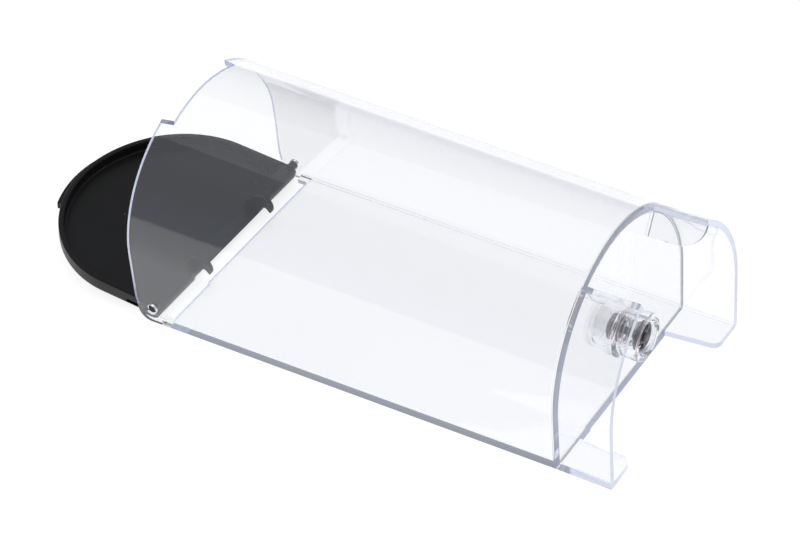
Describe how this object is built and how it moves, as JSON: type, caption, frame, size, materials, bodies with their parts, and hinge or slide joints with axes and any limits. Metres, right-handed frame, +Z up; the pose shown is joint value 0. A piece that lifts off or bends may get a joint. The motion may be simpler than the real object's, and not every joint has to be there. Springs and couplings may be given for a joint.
{
  "type": "removable water tank",
  "caption": "Clear D-section water tank with a black hinged lid that folds flat, a sprung outlet valve in its recessed end, and side feet.",
  "frame": {"origin": "bottom centre of the bounding box, on the plane of the flat back, with the lid as it lies open in the picture", "axes": "+X along the tank from the lid end to the valve end, +Z up away from the flat back, +Y across; the tank is mirror-symmetric about Y = 0"},
  "size_m": [0.2294, 0.0872, 0.0672],
  "materials": {
    "clear_plastic": "clear polished moulding, faint blue-grey in the edges",
    "black_plastic": "satin black moulding",
    "stem_plastic": "dark satin moulding",
    "seal_rubber": "red-brown silicone",
    "guide_plastic": "natural translucent white",
    "spring_steel": "bright drawn wire"
  },
  "bodies": {
    "tank": {"tank_body": "clear_plastic", "valve_housing": "clear_plastic", "guide_bush": "guide_plastic", "valve_spring": "spring_steel"},
    "lid": {"lid": "black_plastic"},
    "valve": {"valve_stem": "stem_plastic", "poppet_seal": "seal_rubber", "spring_collar": "stem_plastic"}
  },
  "joints": [
    {"name": "lid_hinge", "type": "hinge", "parent": "tank", "child": "lid", "pos_m": [-0.0528, 0, 0.0056], "axis": [0, 1, 0], "range_deg": [-5.5, 84.2]},
    {"name": "valve_lift", "type": "slide", "parent": "tank", "child": "valve", "axis": [-1, 0, 0], "range_m": [0, 0.0026], "stiffness_N_per_m": 400, "springref_m": -0.002, "deforming": ["valve_spring"]}
  ]
}
